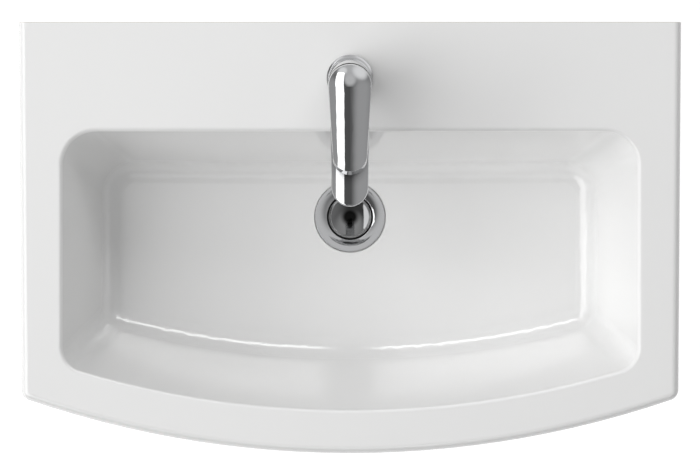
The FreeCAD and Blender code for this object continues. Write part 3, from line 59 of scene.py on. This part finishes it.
def makeMottle():
    # a base value that wanders a little over the surface
    group, source, target = newGroup(
        "mottle",
        [("Scale", "NodeSocketFloat", 40.0), ("Base", "NodeSocketFloat", 0.2), ("Spread", "NodeSocketFloat", 0.05)],
        [("Value", "NodeSocketFloat")])
    place = addNode(group, "ShaderNodeTexCoord", (-700, -250))
    noise = addNode(group, "ShaderNodeTexNoise", (-450, -100))
    noise.inputs["Detail"].default_value = 5.0
    centred = addNode(group, "ShaderNodeMath", (-220, -100), operation="SUBTRACT")
    centred.inputs[1].default_value = 0.5
    scaled = addNode(group, "ShaderNodeMath", (-20, -60), operation="MULTIPLY_ADD")
    links = group.links
    links.new(place.outputs["Object"], noise.inputs["Vector"])
    links.new(source.outputs["Scale"], noise.inputs["Scale"])
    links.new(noise.outputs["Fac"], centred.inputs[0])
    links.new(centred.outputs[0], scaled.inputs[0])
    links.new(source.outputs["Spread"], scaled.inputs[1])
    links.new(source.outputs["Base"], scaled.inputs[2])
    links.new(scaled.outputs[0], target.inputs["Value"])
    return group


def makeTint():
    # two close colours, mixed in soft clouds
    group, source, target = newGroup(
        "tint",
        [("Scale", "NodeSocketFloat", 10.0), ("First", "NodeSocketColor", (0.8, 0.8, 0.8, 1)),
         ("Second", "NodeSocketColor", (0.7, 0.7, 0.7, 1))],
        [("Color", "NodeSocketColor")])
    place = addNode(group, "ShaderNodeTexCoord", (-700, -250))
    noise = addNode(group, "ShaderNodeTexNoise", (-450, -100))
    noise.inputs["Detail"].default_value = 3.0
    mix = addNode(group, "ShaderNodeMix", (-100, 0), data_type="RGBA")
    links = group.links
    links.new(place.outputs["Object"], noise.inputs["Vector"])
    links.new(source.outputs["Scale"], noise.inputs["Scale"])
    links.new(noise.outputs["Fac"], mix.inputs[0])
    links.new(source.outputs["First"], mix.inputs[6])
    links.new(source.outputs["Second"], mix.inputs[7])
    links.new(mix.outputs[2], target.inputs["Color"])
    return group


def makeTurning():
    # fine rings along the axis, as a lathe leaves them
    group, source, target = newGroup(
        "turningLines", [("Pitch", "NodeSocketFloat", 0.001)], [("Height", "NodeSocketFloat")])
    place = addNode(group, "ShaderNodeTexCoord", (-900, -250))
    split = addNode(group, "ShaderNodeSeparateXYZ", (-700, -250))
    turns = addNode(group, "ShaderNodeMath", (-500, -150), operation="DIVIDE")
    ring = addNode(group, "ShaderNodeMath", (-300, -150), operation="PINGPONG")
    ring.inputs[1].default_value = 0.5  # one ring per turn
    links = group.links
    links.new(place.outputs["Object"], split.inputs[0])
    links.new(split.outputs["Z"], turns.inputs[0])
    links.new(source.outputs["Pitch"], turns.inputs[1])
    links.new(turns.outputs[0], ring.inputs[0])
    links.new(ring.outputs[0], target.inputs["Height"])
    return group


mottle = makeMottle()
tint = makeTint()
turningLines = makeTurning()

grainDepth = 0.0002  # metres, for the fine grain of every finish
flatWeight = 90  # how much large faces steer the smooth shading


def groupNode(tree, group, place, **values):
    node = addNode(tree, "ShaderNodeGroup", place)
    node.node_tree = group
    for name, value in values.items():
        node.inputs[name].default_value = value
    return node


def newFinish(name, look):
    # a principled surface with clouded colour, wandering roughness, a fine grain and softened edges
    material = bpy.data.materials.new(name)
    material.use_nodes = True
    tree = material.node_tree
    shader = tree.nodes["Principled BSDF"]
    shader.inputs["Metallic"].default_value = look["metal"]
    shader.inputs["IOR"].default_value = look.get("ior", 1.5)
    shader.inputs["Coat Weight"].default_value = look.get("coat", 0.0)
    shader.inputs["Coat Roughness"].default_value = look.get("coatRough", 0.05)
    colour = groupNode(tree, tint, (-500, 300), Scale=look["cloudScale"],
                       First=(*look["colour"], 1), Second=(*look["colourTwo"], 1))
    rough = groupNode(tree, mottle, (-500, 0), Scale=look["roughScale"], Base=look["rough"], Spread=look["roughSpread"])
    grain = groupNode(tree, mottle, (-700, -300), Scale=look["grainScale"], Base=0.5, Spread=1.0)
    bump = addNode(tree, "ShaderNodeBump", (-300, -300))
    bump.inputs["Strength"].default_value = look["grain"]
    bump.inputs["Distance"].default_value = grainDepth
    links = tree.links
    links.new(colour.outputs["Color"], shader.inputs["Base Color"])
    links.new(rough.outputs["Value"], shader.inputs["Roughness"])
    links.new(grain.outputs["Value"], bump.inputs["Height"])
    links.new(bump.outputs["Normal"], shader.inputs["Normal"])
    if "edge" in look:
        edge = addNode(tree, "ShaderNodeBevel", (-500, -500), samples=8)
        edge.inputs["Radius"].default_value = look["edge"]
        links.new(edge.outputs["Normal"], bump.inputs["Normal"])
    if "paintedShadeReach" in look:  # painted shade: the colour darkens where another piece stands close
        near = addNode(tree, "ShaderNodeAmbientOcclusion", (-900, 600), samples=8)
        near.inputs["Distance"].default_value = look["paintedShadeReach"]
        clear = addNode(tree, "ShaderNodeMapRange", (-700, 600))
        clear.inputs["From Min"].default_value = look["paintedShadeFrom"]
        clear.inputs["From Max"].default_value = look["paintedShadeTo"]
        shade = addNode(tree, "ShaderNodeMix", (-250, 400), data_type="RGBA")
        shade.inputs[6].default_value = (*look["paintedShadeColour"], 1)
        links.new(near.outputs["AO"], clear.inputs["Value"])
        links.new(clear.outputs[0], shade.inputs[0])
        links.new(colour.outputs["Color"], shade.inputs[7])
        links.new(shade.outputs[2], shader.inputs["Base Color"])
    if "pitch" in look:  # turned on a lathe
        rings = groupNode(tree, turningLines, (-500, -700), Pitch=look["pitch"])
        cut = addNode(tree, "ShaderNodeBump", (-100, -500))
        cut.inputs["Distance"].default_value = look["ringDepth"]
        links.new(rings.outputs["Height"], cut.inputs["Height"])
        links.new(bump.outputs["Normal"], cut.inputs["Normal"])
        links.new(cut.outputs["Normal"], shader.inputs["Normal"])
    return material


def wear(names, material):
    for name in names:
        node = nodes[name]
        node.data.materials.clear()
        node.data.materials.append(material)
        smooth = node.modifiers.new("smoothShade", "WEIGHTED_NORMAL")
        smooth.weight = flatWeight
        smooth.keep_sharp = True


# China

china = {"metal": 0.0, "ior": 1.55, "colour": (0.86, 0.86, 0.855), "colourTwo": (0.84, 0.84, 0.838), "cloudScale": 6.0,
         "rough": 0.16, "roughSpread": 0.05, "roughScale": 14.0, "grainScale": 160.0, "grain": 0.015,
         "coat": 1.0, "coatRough": 0.07,
         "bareColour": (0.66, 0.64, 0.6), "bareRough": 0.8, "bareFrom": -0.0006}


def makeChina(look):
    # white glaze, with the bare biscuit on the face that stands on the wall
    material = newFinish("china", look)
    tree = material.node_tree
    shader = tree.nodes["Principled BSDF"]
    place = addNode(tree, "ShaderNodeTexCoord", (-1100, 600))
    split = addNode(tree, "ShaderNodeSeparateXYZ", (-900, 600))
    bare = addNode(tree, "ShaderNodeMath", (-700, 600), operation="GREATER_THAN")
    bare.inputs[1].default_value = look["bareFrom"]
    colour = addNode(tree, "ShaderNodeMix", (-200, 400), data_type="RGBA")
    colour.inputs[7].default_value = (*look["bareColour"], 1)
    rough = addNode(tree, "ShaderNodeMix", (-200, 100), data_type="FLOAT")
    rough.inputs[3].default_value = look["bareRough"]
    links = tree.links
    links.new(place.outputs["Object"], split.inputs[0])
    links.new(split.outputs["Y"], bare.inputs[0])
    for mix, glazeFrom, first, result, target in (
            (colour, shader.inputs["Base Color"].links[0].from_socket, 6, 2, "Base Color"),
            (rough, shader.inputs["Roughness"].links[0].from_socket, 2, 0, "Roughness")):
        links.new(bare.outputs[0], mix.inputs[0])
        links.new(glazeFrom, mix.inputs[first])
        links.new(mix.outputs[result], shader.inputs[target])
    return material


wear(["basin"], makeChina(china))
print("stage: china done")


# Metals, rubbers and plastics

chrome = {"metal": 1.0, "colour": (0.63, 0.635, 0.645), "colourTwo": (0.6, 0.605, 0.615), "cloudScale": 30.0,
          "rough": 0.05, "roughSpread": 0.03, "roughScale": 55.0, "grainScale": 900.0, "grain": 0.01, "edge": 0.0006}
# plug chrome: the darker colour and the black centre spot are painted reflection
plugChromePaintedReflection = {**chrome, "colour": (0.3, 0.302, 0.306), "colourTwo": (0.27, 0.272, 0.276),
              "spot": 0.0045, "spotEnds": 0.0105, "spotColour": (0.01, 0.01, 0.01)}
# cast chrome with painted shade: its colour darkens near other pieces, as ambient occlusion
castChrome = {**chrome, "paintedShadeReach": 0.014, "paintedShadeFrom": 0.6, "paintedShadeTo": 0.95,
              "paintedShadeColour": (0.02, 0.02, 0.022)}
brass = {"metal": 1.0, "colour": (0.66, 0.5, 0.24), "colourTwo": (0.58, 0.43, 0.2), "cloudScale": 90.0,
         "rough": 0.3, "roughSpread": 0.14, "roughScale": 180.0, "grainScale": 1500.0, "grain": 0.1, "edge": 0.0003,
         "pitch": 0.0004, "ringDepth": 0.00006}
steel = {"metal": 1.0, "colour": (0.56, 0.57, 0.58), "colourTwo": (0.47, 0.48, 0.49), "cloudScale": 120.0,
         "rough": 0.34, "roughSpread": 0.15, "roughScale": 260.0, "grainScale": 1800.0, "grain": 0.1, "edge": 0.0003}
rubber = {"metal": 0.0, "colour": (0.028, 0.028, 0.028), "colourTwo": (0.045, 0.044, 0.043), "cloudScale": 120.0,
          "rough": 0.72, "roughSpread": 0.16, "roughScale": 240.0, "grainScale": 2200.0, "grain": 0.25}
plastic = {"metal": 0.0, "colour": (0.78, 0.78, 0.76), "colourTwo": (0.71, 0.71, 0.69), "cloudScale": 70.0,
           "rough": 0.42, "roughSpread": 0.1, "roughScale": 160.0, "grainScale": 1700.0, "grain": 0.12, "edge": 0.0002}
aeratorMesh = {"metal": 0.0, "colour": (0.035, 0.035, 0.037), "colourTwo": (0.022, 0.022, 0.023), "cloudScale": 300.0,
               "rough": 0.45, "roughSpread": 0.12, "roughScale": 400.0, "grainScale": 1200.0, "grain": 0.3,
               "edge": 0.0002}
alumina = {"metal": 0.0, "colour": (0.83, 0.82, 0.79), "colourTwo": (0.77, 0.76, 0.73), "cloudScale": 150.0,
           "rough": 0.22, "roughSpread": 0.08, "roughScale": 300.0, "grainScale": 2500.0, "grain": 0.04}


def makePlug(look):
    # a darker copy of the chrome as a painted dark reflection, with a black spot at the middle of the dish painted as
    # the reflection of the aerator
    material = newFinish("plugChromePaintedReflection", look)
    tree = material.node_tree
    shader = tree.nodes["Principled BSDF"]
    corners = [Vector(corner) for corner in nodes["plug_cap"].bound_box]
    place = addNode(tree, "ShaderNodeTexCoord", (-1300, 500))
    offset = addNode(tree, "ShaderNodeVectorMath", (-1100, 500), operation="SUBTRACT")
    offset.inputs[1].default_value = sum(corners, Vector()) / len(corners)
    flat = addNode(tree, "ShaderNodeVectorMath", (-900, 500), operation="MULTIPLY")
    flat.inputs[1].default_value = (1.0, 1.0, 0.0)
    away = addNode(tree, "ShaderNodeVectorMath", (-700, 500), operation="LENGTH")
    fade = addNode(tree, "ShaderNodeMapRange", (-500, 500), interpolation_type="SMOOTHSTEP")
    fade.inputs["From Min"].default_value = look["spot"]
    fade.inputs["From Max"].default_value = look["spotEnds"]
    mix = addNode(tree, "ShaderNodeMix", (-200, 400), data_type="RGBA")
    mix.inputs[6].default_value = (*look["spotColour"], 1)
    links = tree.links
    plain = shader.inputs["Base Color"].links[0].from_socket
    links.new(place.outputs["Object"], offset.inputs[0])
    links.new(offset.outputs[0], flat.inputs[0])
    links.new(flat.outputs[0], away.inputs[0])
    links.new(away.outputs["Value"], fade.inputs["Value"])
    links.new(fade.outputs[0], mix.inputs[0])
    links.new(plain, mix.inputs[7])
    links.new(mix.outputs[2], shader.inputs["Base Color"])
    return material


plainChrome = newFinish("chrome", chrome)
plainSteel = newFinish("steel", steel)
wear(["base_ring", "cover_dome", "aerator_housing", "overflow_ring", "waste_body"], plainChrome)
wear(["plug_cap"], makePlug(plugChromePaintedReflection))
wear(["tap_body", "lever"], newFinish("castChrome", castChrome))
wear(["cartridge_nut", "waste_nut", "plug_plunger", "clamp_nut"], newFinish("turnedBrass", brass))
wear(["clamp_plate", "pivot_pin", "lever_stem", "lever_screw", "click_spring", "fixing_stud"], plainSteel)
wear(["base_seal", "clamp_rubber", "waste_top_seal", "waste_lower_seal", "plug_seal", "aerator_seal", "cartridge_seal"],
     newFinish("rubber", rubber))
wear(["waste_washer", "click_housing", "cartridge_base", "cartridge_housing", "cartridge_rotor",
      "disc_carrier"], newFinish("plastic", plastic))
wear(["aerator_insert"], newFinish("mesh", aeratorMesh))
wear(["fixed_disc", "moving_disc"], newFinish("alumina", alumina))
print("stage: metals, rubbers and plastics done")


# Cut threads on the waste's tail and on the stud under the tap

threads = [
    {"name": "tailThread", "radius": 0.02095, "low": -0.1366, "high": -0.1113, "pitch": 0.0023,
     "height": 0.0006, "steps": 96, "axis": (0.0, -0.175), "finish": plainChrome, "slot": "chrome"},
    {"name": "studThread", "radius": 0.004, "low": 0.0259, "high": 0.0373, "pitch": 0.00125,
     "height": 0.0003, "steps": 48, "axis": (0.0, -0.06), "finish": plainSteel, "slot": "steel"},
]


def makeRidge(look):
    # one helical ridge whose height runs out at both ends
    foot, crest = 0.46, 0.1  # half widths, in pitches
    root = -0.25 * look["height"]  # sunk into the bar, so that no gap shows
    rise = look["high"] - look["low"] - 2 * foot * look["pitch"]
    count = round(rise / look["pitch"] * look["steps"])
    points, faces = [], []
    for step in range(count + 1):
        angle = 2 * math.pi * step / look["steps"]
        level = look["low"] + foot * look["pitch"] + rise * step / count
        out = look["height"] * min(1.0, 4 * step / look["steps"], 4 * (count - step) / look["steps"])
        for along, away in ((-foot, root), (-crest, out), (crest, out), (foot, root)):
            reach = look["radius"] + away
            points.append((look["axis"][0] + reach * math.cos(angle), look["axis"][1] + reach * math.sin(angle),
                           level + along * look["pitch"]))
    for step in range(count):
        for side in range(4):
            first, second = 4 * step + side, 4 * step + (side + 1) % 4
            faces.append((first, first + 4, second + 4, second))
    faces += [(0, 1, 2, 3), tuple(4 * count + side for side in (3, 2, 1, 0))]
    mesh = bpy.data.meshes.new(look["name"])
    mesh.from_pydata(points, [], faces)
    mesh.materials.append(look["finish"])
    ridge = bpy.data.objects.new(look["name"], mesh)
    bpy.context.scene.collection.objects.link(ridge)
    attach(ridge, "fixed")


for thread in threads:
    makeRidge(thread)
print("stage: threads done")


# Room, lights and camera

room = {"floorLevel": -0.78, "floorSize": 14.0, "floorColour": (0.3, 0.3, 0.3), "floorRough": 0.9, "floorGlow": 0.84}
sky = {"overhead": 0.108, "middle": 0.176, "horizon": 0.320, "overheadFrom": 0.92, "middleAt": 0.45,
       "whiteBelow": 0.02, "whiteEnds": 0.1,
       "patches": [{"toward": (0.75, -0.25, 0.6), "inner": 2.0, "outer": 49.0, "level": 0.44},
                   {"toward": (-0.95, -0.2, 0.3), "inner": 12.0, "outer": 40.0, "level": 0.42},
                   {"toward": (0.15, 0.9, 0.5), "inner": 25.0, "outer": 62.0, "level": 0.62},
                   {"toward": (0.0, 0.22, 0.97), "inner": 10.0, "outer": 28.0, "level": 0.68},
                   {"toward": (-0.45, 0.75, 0.55), "inner": 8.0, "outer": 20.0, "level": 1.0},
                   {"toward": (0.6, 0.7, 0.5), "inner": 8.0, "outer": 34.0, "level": 1.0},
                   {"toward": (0.0, -0.59, 0.81), "inner": 6.0, "outer": 15.0, "level": 0.7},
                   {"toward": (-0.3, -1.0, 0.2), "inner": 22.0, "outer": 34.0, "level": 0.02}]}
lamps = [
    {"name": "leftSoftbox", "at": (-2.9, -0.2, 3.5), "aim": (0.0, -0.15, 0.07), "size": (8.0, 2.7), "watts": 126.0,
     "seen": True},
    {"name": "rearSoftbox", "at": (0.8, 2.3, 1.95), "aim": (0.1, -0.3, 0.0), "size": (2.8, 0.75), "watts": 26.5,
     "seen": True, "only": ["basin"]},
    {"name": "frontFill", "at": (0.6, -3.4, 2.4), "aim": (0.0, -0.2, 0.0), "size": (3.0, 2.0), "watts": 15.7,
     "seen": False},
    {"name": "rightFill", "at": (3.0, -0.3, 2.6), "aim": (0.0, -0.2, 0.0), "size": (3.0, 2.0), "watts": 7.7,
     "seen": False},
    {"name": "lowLeft", "at": (-6.3, -0.5, 2.85), "aim": (0.0, -0.2, 0.0), "size": (6.0, 2.1), "watts": 190.6,
     "seen": False},
    {"name": "highLeft", "at": (-1.1, -0.5, 4.6), "aim": (0.0, -0.2, 0.0), "size": (4.0, 2.0), "watts": 23.6,
     "seen": False},
]
camera = {"at": (0.0, -0.1928, 2.07), "lens": 113.9, "sensor": 36.0, "sees": 50.0}


def seenDirectly(tree, place):
    # one for what the camera sees, also in metal and through glass
    path = addNode(tree, "ShaderNodeLightPath", place)
    first = addNode(tree, "ShaderNodeMath", (place[0] + 200, place[1]), operation="MAXIMUM")
    second = addNode(tree, "ShaderNodeMath", (place[0] + 400, place[1]), operation="MAXIMUM")
    tree.links.new(path.outputs["Is Camera Ray"], first.inputs[0])
    tree.links.new(path.outputs["Is Glossy Ray"], first.inputs[1])
    tree.links.new(first.outputs[0], second.inputs[0])
    tree.links.new(path.outputs["Is Transmission Ray"], second.inputs[1])
    return second.outputs[0]


def makeFloor(look):
    half = look["floorSize"] / 2
    mesh = bpy.data.meshes.new("floor")
    mesh.from_pydata([(-half, -half, 0), (half, -half, 0), (half, half, 0), (-half, half, 0)], [], [(0, 1, 2, 3)])
    floor = bpy.data.objects.new("floor", mesh)
    floor.location.z = look["floorLevel"]
    bpy.context.scene.collection.objects.link(floor)
    material = bpy.data.materials.new("floor")
    material.use_nodes = True
    tree = material.node_tree
    shader = tree.nodes["Principled BSDF"]
    shader.inputs["Base Color"].default_value = (*look["floorColour"], 1)
    shader.inputs["Roughness"].default_value = look["floorRough"]
    shader.inputs["Emission Color"].default_value = (1, 1, 1, 1)
    glow = addNode(tree, "ShaderNodeMath", (-200, -200), operation="MULTIPLY")
    glow.inputs[1].default_value = look["floorGlow"]
    tree.links.new(seenDirectly(tree, (-600, -200)), glow.inputs[0])
    tree.links.new(glow.outputs[0], shader.inputs["Emission Strength"])
    mesh.materials.append(material)


def addPatch(tree, before, direction, look, row):
    # one soft round area of the sky at its own level
    across = addNode(tree, "ShaderNodeVectorMath", (-500, row), operation="DOT_PRODUCT")
    across.inputs[1].default_value = Vector(look["toward"]).normalized()
    inside = addNode(tree, "ShaderNodeMapRange", (-300, row), interpolation_type="SMOOTHSTEP")
    inside.inputs["From Min"].default_value = math.cos(math.radians(look["outer"]))
    inside.inputs["From Max"].default_value = math.cos(math.radians(look["inner"]))
    mix = addNode(tree, "ShaderNodeMix", (-100, row), data_type="RGBA")
    mix.inputs[7].default_value = (look["level"],) * 3 + (1,)
    tree.links.new(direction, across.inputs[0])
    tree.links.new(across.outputs["Value"], inside.inputs["Value"])
    tree.links.new(inside.outputs[0], mix.inputs[0])
    tree.links.new(before, mix.inputs[6])
    return mix.outputs[2]


def makeSky(look):
    world = bpy.data.worlds.new("studio")
    bpy.context.scene.world = world
    world.use_nodes = True
    tree = world.node_tree
    background = tree.nodes["Background"]
    place = addNode(tree, "ShaderNodeTexCoord", (-1100, 0))
    split = addNode(tree, "ShaderNodeSeparateXYZ", (-900, 0))
    ramp = addNode(tree, "ShaderNodeValToRGB", (-700, 0))
    ramp.color_ramp.elements[0].color = (look["horizon"],) * 3 + (1,)
    ramp.color_ramp.elements[1].color = (look["overhead"],) * 3 + (1,)
    ramp.color_ramp.elements[1].position = look["overheadFrom"]
    middle = ramp.color_ramp.elements.new(look["middleAt"])
    middle.color = (look["middle"],) * 3 + (1,)
    tree.links.new(place.outputs["Generated"], split.inputs[0])
    tree.links.new(split.outputs["Z"], ramp.inputs[0])
    seen = seenDirectly(tree, (-300, 300))
    colour = ramp.outputs["Color"]
    for row, patch in enumerate(look["patches"]):
        colour = addPatch(tree, colour, place.outputs["Generated"], patch, -300 * row - 300)
    # the soft areas show in reflections and give no light
    shown = addNode(tree, "ShaderNodeMix", (300, -100), data_type="RGBA")
    tree.links.new(seen, shown.inputs[0])
    tree.links.new(ramp.outputs["Color"], shown.inputs[6])
    tree.links.new(colour, shown.inputs[7])
    band = addNode(tree, "ShaderNodeMapRange", (100, 500), interpolation_type="SMOOTHSTEP")
    band.inputs["From Min"].default_value = look["whiteEnds"]
    band.inputs["From Max"].default_value = look["whiteBelow"]
    white = addNode(tree, "ShaderNodeMath", (300, 400), operation="MULTIPLY")
    mix = addNode(tree, "ShaderNodeMix", (500, 100), data_type="RGBA")
    mix.inputs[7].default_value = (1, 1, 1, 1)
    tree.links.new(split.outputs["Z"], band.inputs["Value"])
    tree.links.new(seen, white.inputs[0])
    tree.links.new(band.outputs[0], white.inputs[1])
    tree.links.new(white.outputs[0], mix.inputs[0])
    tree.links.new(shown.outputs[2], mix.inputs[6])
    tree.links.new(mix.outputs[2], background.inputs["Color"])


def makeLamp(look):
    light = bpy.data.lights.new(look["name"], "AREA")
    light.shape = "RECTANGLE"
    light.size, light.size_y = look["size"]
    light.energy = look["watts"]
    lamp = bpy.data.objects.new(look["name"], light)
    lamp.location = look["at"]
    toward = Vector(look["aim"]) - Vector(look["at"])
    lamp.rotation_euler = toward.to_track_quat("-Z", "Y").to_euler()
    lamp.visible_camera = False
    lamp.visible_glossy = look["seen"]
    bpy.context.scene.collection.objects.link(lamp)
    if "only" in look:  # lights these pieces and no others
        lit = bpy.data.collections.new(look["name"] + "Lit")
        for name in look["only"]:
            lit.objects.link(nodes[name])
        lamp.light_linking.receiver_collection = lit


def makeCamera(look):
    lens = bpy.data.cameras.new("camera")
    lens.lens = look["lens"]
    lens.sensor_width = look["sensor"]
    lens.clip_end = look["sees"]
    eye = bpy.data.objects.new("camera", lens)
    eye.location = look["at"]
    bpy.context.scene.collection.objects.link(eye)
    bpy.context.scene.camera = eye


makeFloor(room)
makeSky(sky)
for lamp in lamps:
    makeLamp(lamp)
makeCamera(camera)
bpy.context.scene.view_settings.view_transform = "Standard"
print("stage: room, lights and camera done")
